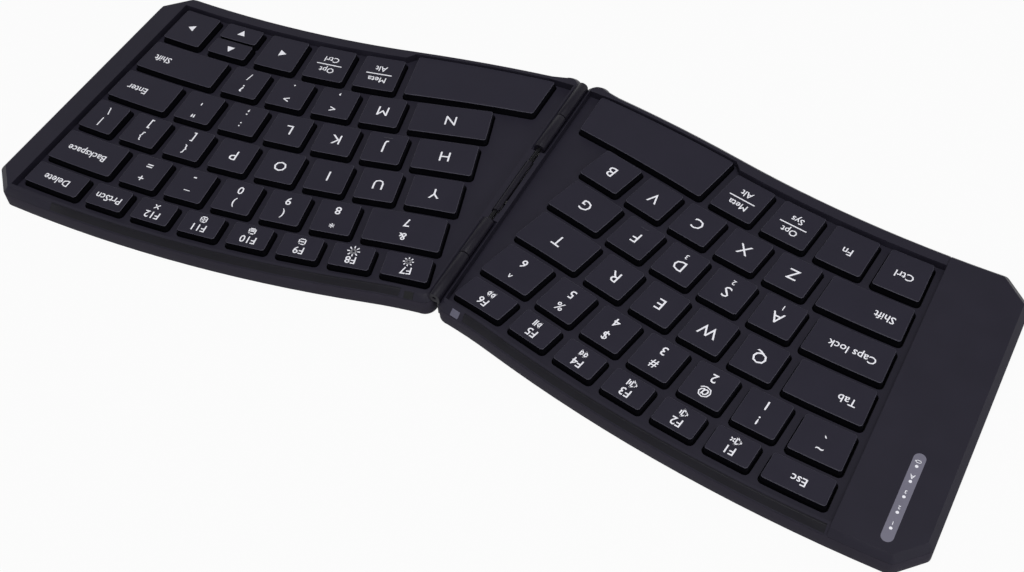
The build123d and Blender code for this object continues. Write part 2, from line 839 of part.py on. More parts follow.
def scissor_frames(side):
    """The folded scissor frame under each key."""
    with BuildPart() as frames:
        with BuildSketch(Plane.XY.offset(membrane_top)):
            for name, (key_side, _) in keys.items():
                if key_side == side:
                    centre, along, across, turn = key_size(name)
                    length = min(along, key_width) - 2 * scissor_margin
                    breadth = min(across, key_depth) - 2 * scissor_margin
                    with Locations(Location(centre, turn)):
                        Rectangle(length, breadth)
                        Rectangle(length - 2 * scissor_bar, breadth - 2 * scissor_bar, mode=Mode.SUBTRACT)
        extrude(amount=scissor_height)
    return frames


def domes(side):
    """The silicone dome under each key."""
    with BuildPart() as cones:
        for name, (key_side, _) in keys.items():
            if key_side == side:
                centre, along, across, turn = key_size(name)
                room = min(min(along, key_width), min(across, key_depth)) / 2
                radius = min(dome_radius, room - scissor_margin - scissor_bar - dome_clearance)
                with Locations(Location((centre.X, centre.Y, membrane_top))):
                    Cone(radius, radius * dome_top_share, dome_height,
                         align=(Align.CENTER, Align.CENTER, Align.MIN))
    return cones


# ---------------------------------------------------------------- hinge
def hinge_leaf(side):
    """Knuckles on uprights, joined by a foot inside the shell."""
    bore = pin_radius + (pin_clearance if side > 0 else 0.0)
    spans = knuckle_spans(side)
    first = spans[0][0]
    last = spans[-1][0] + spans[-1][1]
    with BuildPart() as leaf:
        for start, length in spans:
            with BuildSketch(Plane.XZ.offset(-start)):
                with Locations((0, axis_z)):
                    Circle(barrel_radius)
                with Locations((side * (inner_u + web / 2), (floor_top + axis_z) / 2)):
                    Rectangle(web, axis_z - floor_top)
            extrude(amount=-length)
        foot_start_u = inner_u + wall + wall_clearance
        foot_end_u = plate_inner_u - plate_to_leaf
        with BuildSketch(Plane.XY.offset(floor_top)):
            with Locations((side * (foot_start_u + foot_end_u) / 2, (first + last) / 2)):
                Rectangle(foot_end_u - foot_start_u, last - first)
            for start, length in spans:
                with Locations((side * (inner_u + foot_end_u) / 2, start + length / 2)):
                    Rectangle(foot_end_u - inner_u, length)
        extrude(amount=leaf_foot)
        with BuildSketch(Plane.XZ.offset(-first)):
            with Locations((0, axis_z)):
                Circle(bore)
        extrude(amount=-(last - first), mode=Mode.SUBTRACT)
    return leaf


def hinge_pin():
    with BuildPart() as pin:
        with BuildSketch(Plane.XZ.offset(-barrel_front_y - pin_inset)):
            with Locations((0, axis_z)):
                Circle(pin_radius)
        extrude(amount=-(barrel_back_y - barrel_front_y - 2 * pin_inset))
    return pin


def hinge_sleeve():
    with BuildPart() as sleeve:
        with BuildSketch(Plane.XZ.offset(-middle_y + sleeve_length / 2)):
            with Locations((0, axis_z)):
                Circle(sleeve_radius)
                Circle(pin_radius, mode=Mode.SUBTRACT)
        extrude(amount=-sleeve_length)
    return sleeve


def flex_cable(side):
    """One half's end of the flat cable, which turns up into the gap under the sleeve."""
    with BuildPart() as tail:
        with BuildSketch(Plane.XY.offset(membrane_top)):
            with Locations((side * (flex_end_u + flex_reach) / 2, middle_y)):
                Rectangle(flex_reach - flex_end_u, flex_width)
        extrude(amount=flex_thickness)
        with BuildSketch(Plane.XY.offset(membrane_top)):
            with Locations((side * (flex_end_u + flex_thickness / 2), middle_y)):
                Rectangle(flex_thickness, flex_width)
        extrude(amount=axis_z - sleeve_radius - flex_under_sleeve - membrane_top)
    return tail


# ---------------------------------------------------------------- screws and rubber parts
def screws(side):
    """The cross-head screws that hold a half together, from below."""
    with BuildPart() as set_of_screws:
        with BuildSketch(Plane.XY.offset(shell_bottom)):
            add(circles(side, screw_places[side], screw_head_radius))
        extrude(amount=screw_head_height)
        with BuildSketch(Plane.XY.offset(shell_bottom)):
            add(circles(side, screw_places[side], screw_radius))
        extrude(amount=screw_length)
        with BuildSketch(Plane.XY.offset(shell_bottom)):
            with Locations(*[(side * u, y) for u, y in screw_places[side]]):
                Rectangle(*cross_slot)
                Rectangle(*cross_slot[::-1])
        extrude(amount=cross_slot_depth, mode=Mode.SUBTRACT)
    return set_of_screws


def rubber_pads(side):
    """Four feet under the half and the small pad on its back bevel."""
    with BuildPart() as pads:
        with BuildSketch():
            with Locations(*foot_places(side)):
                SlotOverall(*foot_size)
        extrude(amount=foot_height + foot_recess)
        with BuildSketch(pad_plane(side, -pad_sink)):
            Rectangle(*pad_size)
        extrude(amount=pad_sink + pad_proud)
    return pads


# ---------------------------------------------------------------- electronics
def battery():
    """The flat cell, with rounded long edges."""
    with BuildPart() as cell:
        with Locations((-strip_middle_u, battery_y, floor_top)):
            Box(*battery_size, align=(Align.CENTER, Align.CENTER, Align.MIN))
        fillet(cell.edges().filter_by(Axis.Y), battery_rounding)
    return cell


def main_board():
    """The circuit board with its radio chip and crystal."""
    with BuildPart() as board:
        with BuildSketch(Plane.XY.offset(board_bottom)) as outline:
            with Locations(on_board((0, 0))):
                Rectangle(board_size[0], board_size[1])
            chamfer(outline.vertices().group_by(Axis.X)[0].sort_by(Axis.Y)[-1:], board_corner)
        extrude(amount=board_size[2])
        for size, place in ((chip_size, chip_place), (crystal_size, crystal_place)):
            with BuildSketch(Plane.XY.offset(board_bottom + board_size[2])):
                with Locations(on_board(place)):
                    Rectangle(size[0], size[1])
            extrude(amount=size[2])
    return board


def indicator_window():
    with BuildPart() as window:
        with BuildSketch(Plane.XY.offset(rim_top - window_depth)):
            with Locations(on_board(window_place)):
                SlotOverall(window_size[1], window_size[0], rotation=90)
        extrude(amount=window_depth)
    return window


def indicator_leds():
    with BuildPart() as leds:
        with BuildSketch(Plane.XY.offset(board_bottom + board_size[2])):
            with Locations(on_board(window_place)):
                with GridLocations(led_size[0], led_pitch, 1, led_count):
                    Rectangle(led_size[0], led_size[1])
        extrude(amount=led_size[2])
    return leds


def charge_port():
    """The charging socket: a metal shell open to the side, with a tongue."""
    mouth = half_width - socket_inset
    with BuildPart() as port:
        with BuildSketch(Plane.YZ.offset(-mouth)):
            with Locations((board_y, floor_top + socket_size[2] / 2)):
                RectangleRounded(socket_size[1], socket_size[2], socket_rounding)
        extrude(amount=socket_size[0])
        with BuildSketch(Plane.YZ.offset(-mouth)):
            with Locations((board_y, floor_top + socket_size[2] / 2)):
                RectangleRounded(socket_size[1] - 2 * socket_wall, socket_size[2] - 2 * socket_wall,
                                 socket_rounding - socket_wall)
        extrude(amount=socket_size[0] - socket_back, mode=Mode.SUBTRACT)
        with BuildSketch(Plane.YZ.offset(-(mouth - socket_size[0] + socket_back))):
            with Locations((board_y, floor_top + socket_size[2] / 2)):
                Rectangle(socket_tongue[1], socket_tongue[2])
        extrude(amount=-socket_tongue[0])
    return port


# ---------------------------------------------------------------- the whole keyboard
make_keys()
for side, half in ((-1, "left"), (1, "right")):
    ring = beveled_ring(side)
    save(bottom_cover(side), f"{half}_bottom_cover")
    save(top_frame(side, ring), f"{half}_top_frame")
    save(back_trim(side, ring), f"{half}_back_trim")
    save(flat_sheet(side, floor_top, plate_thickness), f"{half}_support_plate")
    save(flat_sheet(side, plate_top, membrane_thickness), f"{half}_membrane")
    save(scissor_frames(side), f"{half}_scissor_frames")
    save(domes(side), f"{half}_domes")
    save(hinge_leaf(side), f"{half}_hinge_leaf")
    save(flex_cable(side), f"flex_cable_{half}")
    save(screws(side), f"{half}_screws")
    save(rubber_pads(side), f"{half}_rubber_pads")
save(hinge_pin(), "hinge_pin")
save(hinge_sleeve(), "hinge_sleeve")
save(battery(), "battery")
save(main_board(), "main_board")
save(indicator_window(), "indicator_window")
save(indicator_leds(), "indicator_leds")
save(charge_port(), "charge_port")
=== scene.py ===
# %% [markdown]
# # A folding keyboard
# Two arched halves joined by a centre hinge, lying open on a white table. The solids of every
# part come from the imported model. This lesson gives them their finishes, prints the key
# legends, adds what is too fine for the solids, and lights the whole like a product photo.

import json
from math import atan2, cos, pi, radians, sin

import bmesh
import bpy
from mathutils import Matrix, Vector

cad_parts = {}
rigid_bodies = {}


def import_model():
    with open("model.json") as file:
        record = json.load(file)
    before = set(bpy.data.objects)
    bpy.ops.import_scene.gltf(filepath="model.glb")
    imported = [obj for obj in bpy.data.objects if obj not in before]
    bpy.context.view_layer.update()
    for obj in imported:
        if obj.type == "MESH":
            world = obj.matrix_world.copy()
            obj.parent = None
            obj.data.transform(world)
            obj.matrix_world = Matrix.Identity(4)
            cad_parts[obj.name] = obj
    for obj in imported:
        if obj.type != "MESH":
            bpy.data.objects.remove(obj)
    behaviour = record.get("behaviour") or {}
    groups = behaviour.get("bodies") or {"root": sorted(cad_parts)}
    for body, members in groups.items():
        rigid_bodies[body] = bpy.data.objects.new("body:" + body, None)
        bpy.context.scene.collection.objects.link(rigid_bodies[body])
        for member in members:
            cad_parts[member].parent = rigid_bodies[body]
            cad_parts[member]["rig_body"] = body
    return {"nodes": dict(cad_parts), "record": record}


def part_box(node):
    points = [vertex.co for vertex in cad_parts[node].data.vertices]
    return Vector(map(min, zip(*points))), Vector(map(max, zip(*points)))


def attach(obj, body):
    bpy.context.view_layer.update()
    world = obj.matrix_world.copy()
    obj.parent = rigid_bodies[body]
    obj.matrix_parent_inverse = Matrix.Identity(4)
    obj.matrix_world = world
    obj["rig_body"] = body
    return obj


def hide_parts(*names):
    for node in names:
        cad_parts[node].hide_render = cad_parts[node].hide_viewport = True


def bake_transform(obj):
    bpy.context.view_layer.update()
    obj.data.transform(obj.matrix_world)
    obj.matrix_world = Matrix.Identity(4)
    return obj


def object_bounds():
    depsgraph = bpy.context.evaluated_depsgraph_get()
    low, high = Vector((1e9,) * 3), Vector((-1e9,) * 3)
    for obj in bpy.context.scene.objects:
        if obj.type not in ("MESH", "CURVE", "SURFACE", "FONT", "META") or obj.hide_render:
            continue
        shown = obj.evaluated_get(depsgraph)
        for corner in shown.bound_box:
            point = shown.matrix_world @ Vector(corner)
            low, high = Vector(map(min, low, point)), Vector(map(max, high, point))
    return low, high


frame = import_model()
nodes = frame["nodes"]
cad_low, cad_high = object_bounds()
mm = 0.001
print("parts:", len(nodes), "size in mm:", [round(v / mm, 1) for v in cad_high - cad_low])

# %% [markdown]
# ## Camera
# The photo was taken from behind the keyboard, high up and turned, so the object stands
# upside down in it. A camera could be set by eye, but eighty keys in arcs show every error,
# so its place, turn and lens were found by fitting the rows, and are only typed in here.

# %% The camera
camera_place = Vector((-170.2, 268.35, 364.1)) * mm
camera_turn = (38.527, 3.035, -151.778)     # degrees about X, Y and Z
camera_lens = 51.05                         # in mm
sensor_width = 36.0                         # in mm
nearest_seen = 0.01                         # in m

camera_data = bpy.data.cameras.new("photo_camera")
camera_data.lens = camera_lens
camera_data.sensor_width = sensor_width
camera_data.clip_start = nearest_seen
camera = bpy.data.objects.new("photo_camera", camera_data)
camera.location = camera_place
camera.rotation_euler = [radians(angle) for angle in camera_turn]
bpy.context.scene.collection.objects.link(camera)
bpy.context.scene.camera = camera
print("camera distance in mm:", round(camera_place.length / mm))

# %% [markdown]
# ## Shared effects
# Every moulded surface has a fine grain, every surface that is handled has faint smudges, and
# the metal parts show the lines of grinding. A painted image could hold such marks, but noise
# has no seams and any scale. Many finishes use each effect, so each is a node group, built
# once and placed in every material with its own values.

# %% Helpers for node trees
def add_node(tree, kind, **values):
    """A node with its properties set, and its unlinked inputs by name."""
    node = tree.nodes.new(kind)
    for name, value in values.pop("inputs", {}).items():
        node.inputs[name].default_value = value
    for name, value in values.items():
        setattr(node, name, value)
    return node


def math_node(tree, operation, first, second=None, third=None, clamp=False):
    """A Math node whose operands are sockets or numbers."""
    node = add_node(tree, "ShaderNodeMath", operation=operation, use_clamp=clamp)
    for index, value in enumerate((first, second, third)):
        if hasattr(value, "is_output"):
            tree.links.new(value, node.inputs[index])
        elif value is not None:
            node.inputs[index].default_value = value
    return node.outputs[0]


def new_group(name, inputs, outputs):
    """A shader group that takes a place and some numbers, and its start and end nodes."""
    group = bpy.data.node_groups.new(name, "ShaderNodeTree")
    group.interface.new_socket("Place", in_out="INPUT", socket_type="NodeSocketVector")
    for socket, value in inputs.items():
        made = group.interface.new_socket(socket, in_out="INPUT", socket_type="NodeSocketFloat")
        made.default_value = value
    for socket in outputs:
        group.interface.new_socket(socket, in_out="OUTPUT", socket_type="NodeSocketFloat")
    start = group.nodes.new("NodeGroupInput")
    end = group.nodes.new("NodeGroupOutput")
    return group, start, end


print("helpers for node trees: 3")

# %% Grain, smudges and brushed lines as groups
def make_grain():
    """Fine moulding texture: a height and an uneven roughness."""
    group, start, end = new_group(
        "moulding_grain", {"Scale": 3000.0, "Patch scale": 90.0}, ["Height", "Patches"])
    fine = add_node(group, "ShaderNodeTexNoise", inputs={"Detail": 3.0, "Roughness": 0.65})
    group.links.new(start.outputs["Place"], fine.inputs["Vector"])
    group.links.new(start.outputs["Scale"], fine.inputs["Scale"])
    group.links.new(fine.outputs["Fac"], end.inputs["Height"])
    patches = add_node(group, "ShaderNodeTexNoise", inputs={"Detail": 2.0, "Roughness": 0.5})
    group.links.new(start.outputs["Place"], patches.inputs["Vector"])
    group.links.new(start.outputs["Patch scale"], patches.inputs["Scale"])
    group.links.new(patches.outputs["Fac"], end.inputs["Patches"])
    return group


def make_smudges():
    """Soft marks that fingers leave, from 0 where clean to 1."""
    group, start, end = new_group("finger_smudges", {"Scale": 55.0, "Amount": 0.5}, ["Mask"])
    noise = add_node(group, "ShaderNodeTexNoise", inputs={"Detail": 4.0, "Distortion": 0.8})
    group.links.new(start.outputs["Place"], noise.inputs["Vector"])
    group.links.new(start.outputs["Scale"], noise.inputs["Scale"])
    ramp = add_node(group, "ShaderNodeMapRange", inputs={"From Min": 0.45, "From Max": 0.75})
    group.links.new(noise.outputs["Fac"], ramp.inputs["Value"])
    mask = math_node(group, "MULTIPLY", ramp.outputs["Result"], start.outputs["Amount"])
    group.links.new(mask, end.inputs["Mask"])
    return group


def make_brushing():
    """Lines of a brushed or ground metal, as a height along one direction."""
    group, start, end = new_group("brushed_lines", {"Scale": 700.0, "Stretch": 0.03}, ["Height"])
    stretch = add_node(group, "ShaderNodeCombineXYZ", inputs={"X": 1.0, "Z": 1.0})
    group.links.new(start.outputs["Stretch"], stretch.inputs["Y"])
    place = add_node(group, "ShaderNodeVectorMath", operation="MULTIPLY")
    group.links.new(start.outputs["Place"], place.inputs[0])
    group.links.new(stretch.outputs["Vector"], place.inputs[1])
    noise = add_node(group, "ShaderNodeTexNoise", inputs={"Detail": 2.0})
    group.links.new(place.outputs["Vector"], noise.inputs["Vector"])
    group.links.new(start.outputs["Scale"], noise.inputs["Scale"])
    group.links.new(noise.outputs["Fac"], end.inputs["Height"])
    return group


grain_group = make_grain()
smudge_group = make_smudges()
brush_group = make_brushing()
print("groups:", grain_group.name, smudge_group.name, brush_group.name)

# %% [markdown]
# ## Finishes
# The shell, the frame and the keys are dark plastics that differ in colour, gloss and grain.
# Each could have a material of its own making, but then a change to one look would have to be
# made many times. So all surfaces share one recipe: a colour that varies a little, a roughness
# that smudges change, and a bump from the grain.

# %% The recipe for a surface
smudge_gloss = 0.22         # share of the roughness that a full smudge takes away
patch_gloss = 0.1           # share of the roughness that varies from patch to patch
bump_strength = 0.6


def linear(red, green, blue):
    """A colour given as it looks on a screen, from 0 to 255, for a shader's socket."""
    parts = []
    for value in (red, green, blue):
        share = value / 255
        parts.append(share / 12.92 if share <= 0.04045 else ((share + 0.055) / 1.055) ** 2.4)
    return (*parts, 1.0)


def surface(name, colour, roughness, metallic=0.0, specular=0.3, variation=0.12, smudges=0.3,
            smudge_scale=55.0, grain=3000.0, grain_depth=0.02, lines=0.0, coat=0.0):
    """A finish from the shared groups. Lines, where there are any, take the grain's place."""
    material = bpy.data.materials.new(name)
    material.use_nodes = True
    tree = material.node_tree
    shader = tree.nodes["Principled BSDF"]
    shader.inputs["Metallic"].default_value = metallic
    shader.inputs["Specular IOR Level"].default_value = specular
    shader.inputs["Coat Weight"].default_value = coat
    place = add_node(tree, "ShaderNodeTexCoord").outputs["Object"]

    grains = add_node(tree, "ShaderNodeGroup", node_tree=grain_group)
    grains.inputs["Scale"].default_value = grain
    marks = add_node(tree, "ShaderNodeGroup", node_tree=smudge_group)
    marks.inputs["Scale"].default_value = smudge_scale
    marks.inputs["Amount"].default_value = smudges
    for group in (grains, marks):
        tree.links.new(place, group.inputs["Place"])

    tint = add_node(tree, "ShaderNodeMix", data_type="RGBA")
    tint.inputs["A"].default_value = (*[part * (1 - variation) for part in colour[:3]], 1.0)
    tint.inputs["B"].default_value = (*[part * (1 + variation) for part in colour[:3]], 1.0)
    tree.links.new(grains.outputs["Patches"], tint.inputs["Factor"])
    tree.links.new(tint.outputs["Result"], shader.inputs["Base Color"])

    shine = math_node(tree, "MULTIPLY", marks.outputs["Mask"], -smudge_gloss * roughness)
    uneven = math_node(tree, "MULTIPLY_ADD", grains.outputs["Patches"], patch_gloss * roughness,
                       (1 - patch_gloss / 2) * roughness)
    tree.links.new(math_node(tree, "ADD", shine, uneven, clamp=True), shader.inputs["Roughness"])

    height = grains.outputs["Height"]
    if lines > 0:
        brush = add_node(tree, "ShaderNodeGroup", node_tree=brush_group)
        tree.links.new(place, brush.inputs["Place"])
        height = math_node(tree, "MULTIPLY", brush.outputs["Height"], lines)
    bump = add_node(tree, "ShaderNodeBump",
                    inputs={"Strength": bump_strength, "Distance": grain_depth * mm})
    tree.links.new(height, bump.inputs["Height"])
    tree.links.new(bump.outputs["Normal"], shader.inputs["Normal"])
    return material


print("a mid grey as a shader sees it:", round(linear(128, 128, 128)[0], 3))

# %% [markdown]
# Key tops are flat and matte, and their sides look polished, because fingers never touch them
# and the mould is smoother there. The sides also take a much darker colour, which is painted
# shade. Two materials on one cap would leave a hard line between them. So the surface's own
# upward direction mixes the two, and a thin band between them, where the edge is rounded, takes
# a lighter colour as a painted highlight.

# %% The keycap's finish
side_lean = 0.35            # upward part of the normal at which the side's finish ends
top_lean = 0.97             # and at which the top's finish begins
# the rounded edge's lighter colour is a painted highlight
edge_highlight = 0.6             # how much of the lighter colour the rounded edge shows


def keycap_surface(name, top_colour, shaded_side_colour, highlight_colour, top_roughness, side_roughness):
    """Matte top; glossy sides with painted shade; a painted highlight on the rounded edge."""
    material = surface(name, top_colour, top_roughness, specular=0.18, variation=0.08, smudges=0.5,
                       smudge_scale=120.0)
    tree = material.node_tree
    shader = tree.nodes["Principled BSDF"]
    normal = add_node(tree, "ShaderNodeTexCoord").outputs["Normal"]
    split = add_node(tree, "ShaderNodeSeparateXYZ")
    tree.links.new(normal, split.inputs["Vector"])
    top = add_node(tree, "ShaderNodeMapRange",
                   inputs={"From Min": side_lean, "From Max": top_lean})
    tree.links.new(split.outputs["Z"], top.inputs["Value"])
    from_middle = math_node(tree, "MULTIPLY_ADD", top.outputs["Result"], 2.0, -1.0)
    edge = math_node(tree, "SUBTRACT", 1.0, math_node(tree, "ABSOLUTE", from_middle), clamp=True)

    top_shade = shader.inputs["Base Color"].links[0].from_socket
    # the sides' much darker colour, picked by the normal, is painted shade
    body = add_node(tree, "ShaderNodeMix", data_type="RGBA")
    body.inputs["A"].default_value = shaded_side_colour
    tree.links.new(top.outputs["Result"], body.inputs["Factor"])
    tree.links.new(top_shade, body.inputs["B"])
    # a lighter colour on the rounded edge: a painted highlight
    highlight_mix = add_node(tree, "ShaderNodeMix", data_type="RGBA")
    highlight_mix.inputs["B"].default_value = highlight_colour
    tree.links.new(math_node(tree, "MULTIPLY", edge, edge_highlight), highlight_mix.inputs["Factor"])
    tree.links.new(body.outputs["Result"], highlight_mix.inputs["A"])
    tree.links.new(highlight_mix.outputs["Result"], shader.inputs["Base Color"])

    top_rough = shader.inputs["Roughness"].links[0].from_socket
    rough = add_node(tree, "ShaderNodeMix", data_type="FLOAT")
    rough.inputs["A"].default_value = side_roughness
    tree.links.new(top.outputs["Result"], rough.inputs["Factor"])
    tree.links.new(top_rough, rough.inputs["B"])
    tree.links.new(rough.outputs["Result"], shader.inputs["Roughness"])
    return material


print("keycap edge band between the leans", side_lean, "and", top_lean)

# %% All the finishes
finishes = {
    "shell": surface("shell", linear(56, 53, 64), 0.7, specular=0.08, grain=2600.0,
                     grain_depth=0.03, smudges=0.2),
    "frame": surface("frame", linear(36, 34, 45), 0.5, specular=0.18, grain=3200.0,
                     grain_depth=0.015, smudges=0.35),
    "trim": surface("trim", linear(25, 24, 30), 0.45, grain=1500.0, grain_depth=0.06, variation=0.3,
                    specular=0.16),
    # keycap colours: top, sides darkened as painted shade, rounded edge lightened as a painted
    # highlight
    "keycap": keycap_surface("keycap", linear(37, 35, 47), linear(10, 10, 14),
                             linear(100, 98, 112), top_roughness=0.5, side_roughness=0.16),
    "plate": surface("plate", linear(60, 60, 64), 0.4, metallic=1.0, lines=1.0),
    "membrane_film": surface("membrane_film", linear(22, 22, 25), 0.4),
    "dome_silicone": surface("dome_silicone", linear(190, 190, 192), 0.4, grain=1200.0),
    "scissor_plastic": surface("scissor_plastic", linear(150, 150, 155), 0.45, grain=1800.0),
    "hinge_metal": surface("hinge_metal", linear(27, 25, 34), 0.45, specular=0.16, lines=0.6,
                           smudges=0.2),
    "pin_steel": surface("pin_steel", linear(24, 24, 27), 0.45, metallic=0.6, lines=1.0),
    "battery_foil": surface("battery_foil", linear(170, 170, 176), 0.4, metallic=1.0, grain=900.0,
                            grain_depth=0.1),
    "board": surface("board", linear(20, 70, 40), 0.3, specular=0.5, coat=0.3),
    "window": surface("window", linear(118, 116, 131), 0.3, specular=0.4, coat=0.2, smudges=0.1,
                      grain_depth=0.004),
    "led": surface("led", linear(225, 222, 205), 0.3, specular=0.5),
    "socket_steel": surface("socket_steel", linear(160, 160, 164), 0.28, metallic=1.0, lines=0.5),
    "flex_film": surface("flex_film", linear(30, 26, 24), 0.35, specular=0.4, lines=0.8),
    "screw_steel": surface("screw_steel", linear(70, 70, 74), 0.35, metallic=1.0, lines=0.4),
    "rubber_feet": surface("rubber_feet", linear(30, 30, 32), 0.75, specular=0.2, grain=1500.0,
                           grain_depth=0.05, smudges=0.15),
}
print("finishes:", len(finishes))

# %% [markdown]
# The small pad on the left half's back bevel is of a paler, translucent rubber than the feet
# that share its node. A node of its own could carry a second finish, but the pads and feet
# are one solid part. So the finish looks at its place: high up and left of the hinge is pale.

# %% The pale pad
pad_floor = 3.0 * mm        # the pad lies above this height, and all feet below it


def pale_pad(material, colour, above):
    """Mixes in a second colour on the left half, above a height."""
    tree = material.node_tree
    shader = tree.nodes["Principled BSDF"]
    split = add_node(tree, "ShaderNodeSeparateXYZ")
    tree.links.new(add_node(tree, "ShaderNodeTexCoord").outputs["Object"], split.inputs["Vector"])
    high = math_node(tree, "GREATER_THAN", split.outputs["Z"], above)
    left = math_node(tree, "LESS_THAN", split.outputs["X"], 0.0)
    paint = add_node(tree, "ShaderNodeMix", data_type="RGBA")
    paint.inputs["B"].default_value = colour
    tree.links.new(math_node(tree, "MULTIPLY", high, left), paint.inputs["Factor"])
    tree.links.new(shader.inputs["Base Color"].links[0].from_socket, paint.inputs["A"])
    tree.links.new(paint.outputs["Result"], shader.inputs["Base Color"])


pale_pad(finishes["rubber_feet"], linear(104, 103, 118), above=pad_floor)
print("pale above", round(pad_floor / mm, 1), "mm on the left half")

# %% [markdown]
# The record names the finish of each part's solids. Setting them part by part would miss one
# that is added later, so every slot gets the finish of that name. The legends' paint follows
# the same recipe in white.

# %% Give every part its finish
slot_of = {part["node"]: part["material_slot"] for part in frame["record"]["subparts"]}
for name, part in nodes.items():
    for slot in part.material_slots:
        slot.material = finishes[slot_of[name]]
legend_paint = surface("legend_paint", linear(244, 244, 250), 0.6, variation=0.04,
                       smudges=0.1, grain=4000.0, grain_depth=0.004)
print("parts with a finish:", len(nodes))

# %% [markdown]
# ## Softened edges
# A moulded part has no knife edge. The solids of the frames and covers are sharp there. Every
# edge could be rounded in the solids, but a bevel modifier does it faster and can be changed
# later. The split vertices are welded first, flat triangles are joined into larger faces, and
# only edges that turn by more than the limit are rounded.

# %% Round the sharp edges of the moulded parts
weld_reach = 0.001 * mm     # vertices closer than this are one
flat_limit = 0.4            # degrees between faces that count as one flat face
sharp_limit = 28.0          # degrees from which an edge is rounded
bevel_segments = 2
edge_widths = {             # in mm
    "top_frame": 0.18, "bottom_cover": 0.2, "back_trim": 0.12, "hinge_leaf": 0.15,
    "rubber_pads": 0.25,
}


def soften(name, width):
    """Rounds the sharp edges of a part by a width in mm."""
    part = nodes[name]
    weld = part.modifiers.new("weld", "WELD")
    weld.merge_threshold = weld_reach
    flatten = part.modifiers.new("join_flat_faces", "DECIMATE")
    flatten.decimate_type = "DISSOLVE"
    flatten.angle_limit = radians(flat_limit)
    bevel = part.modifiers.new("soft_edges", "BEVEL")
    bevel.width = width * mm
    bevel.segments = bevel_segments
    bevel.limit_method = "ANGLE"
    bevel.angle_limit = radians(sharp_limit)
    bevel.harden_normals = True
    bevel.use_clamp_overlap = True


for half in ("left", "right"):
    for kind, width in edge_widths.items():
        soften(f"{half}_{kind}", width)
print("softened parts:", sum(1 for part in nodes.values() if part.modifiers))

# %% [markdown]
# ## Where the keys are
# The legends need each key's middle, its turn and its width. They could be typed in, but would
# then miss the caps as soon as a size changes, so they are read from the solids: a keycap is
# one connected piece of its node's mesh, and its top is the set of its highest points. The
# rows are arcs, so a key's distance from its half's arc centre tells its row, and its angle
# there tells its turn.

# %% The names of the keys, row by row
key_names = {
    -1: [
        ["esc", "f1", "f2", "f3", "f4", "f5", "f6"],
        ["grave", "1", "2", "3", "4", "5", "6"],
        ["tab", "q", "w", "e", "r", "t"],
        ["caps", "a", "s", "d", "f", "g"],
        ["left_shift", "z", "x", "c", "v", "b"],
        ["left_ctrl", "fn", "left_option", "left_alt", "left_space"],
    ],
    1: [
        ["f7", "f8", "f9", "f10", "f11", "f12", "print", "delete"],
        ["7", "8", "9", "0", "minus", "equals", "backspace"],
        ["y", "u", "i", "o", "p", "left_bracket", "right_bracket", "backslash"],
        ["h", "j", "k", "l", "semicolon", "quote", "enter"],
        ["n", "m", "comma", "period", "slash", "right_shift"],
        ["right_space", "right_alt", "right_option", "left", "up", "down", "right"],
    ],
}
print("key names:", sum(len(names) for rows in key_names.values() for names in rows))

# %% Read the key tops from the solids
arc_centre_u = 156.7 * mm           # from the hinge to each half's arc centre, along X
back_radius = 522.1 * mm            # of the back edge, about that centre
arc_centre_y = cad_high.y - back_radius
top_slack = 0.01 * mm               # points of a cap's top lie this close to its highest


def key_tops(name):
    """The points of each keycap's top face in a node, in the mesh's own order."""
    mesh = bmesh.new()
    mesh.from_mesh(nodes[name].data)
    bmesh.ops.remove_doubles(mesh, verts=mesh.verts, dist=weld_reach)
    seen = set()
    tops = []
    for start in mesh.verts:
        if start in seen:
            continue
        seen.add(start)
        island = [start]
        for vertex in island:
            for edge in vertex.link_edges:
                other = edge.other_vert(vertex)
                if other not in seen:
                    seen.add(other)
                    island.append(other)
        top = max(vertex.co.z for vertex in island)
        tops.append([vertex.co.copy() for vertex in island if vertex.co.z > top - top_slack])
    mesh.free()
    return tops


def measure_key(points, node):
    """A key's half of the keyboard, turn, row radius, middle and half width."""
    side = -1 if points[0].x < 0 else 1
    rough = sum(points, Vector()) / len(points)
    away = Vector((rough.x - side * arc_centre_u, rough.y - arc_centre_y))
    turn = atan2(-away.x, away.y)
    along = Vector((cos(turn), sin(turn)))
    across = Vector((-sin(turn), cos(turn)))
    spans = []
    for axis in (along, across):
        places = [point.x * axis.x + point.y * axis.y for point in points]
        spans.append((min(places), max(places)))
    middle = along * sum(spans[0]) / 2 + across * sum(spans[1]) / 2
    return {
        "node": node, "side": side, "turn": turn, "radius": away.length,
        "middle": Vector((middle.x, middle.y, max(point.z for point in points))),
        "half_width": (spans[0][1] - spans[0][0]) / 2,
    }


found = [measure_key(points, name) for name in nodes if slot_of[name] == "keycap"
         for points in key_tops(name)]
print("key tops:", len(found))

# %% Give every key top its name
row_split = 5.0 * mm                # rows lie further apart than this, keys of a row don't
turn_digits = 2                     # the up and down arrows have the same turn to this digit

keys = {}
for side, rows in key_names.items():
    outer_first = sorted((key for key in found if key["side"] == side),
                         key=lambda key: -key["radius"])
    row_keys = [[outer_first[0]]]
    for before, key in zip(outer_first, outer_first[1:]):
        if before["radius"] - key["radius"] > row_split:
            row_keys.append([])
        row_keys[-1].append(key)
    for names, members in zip(rows, row_keys):
        members.sort(key=lambda key: (-round(key["turn"], turn_digits), -key["radius"]))
        assert len(names) == len(members), (side, names, len(members))
        keys.update(zip(names, members))
print("keys found:", len(keys))

# %% [markdown]
# ## Legends
# The legends are pad-printed, so they stand a few hundredths of a millimetre above the cap. An
# image could show them, but would blur up close, so each is a thin raised shape. Letters,
# figures and words are set in the built-in typeface, and the small signs on the function row
# are drawn from strokes. A legend is placed in its key's own directions, in millimetres from
# the key's middle, and all legends of one node are joined into one piece.

# %% Prism helpers
ink_height = 0.03 * mm      # above the surface that is printed on
ink_sink = 0.01 * mm        # below it, so that no gap shows


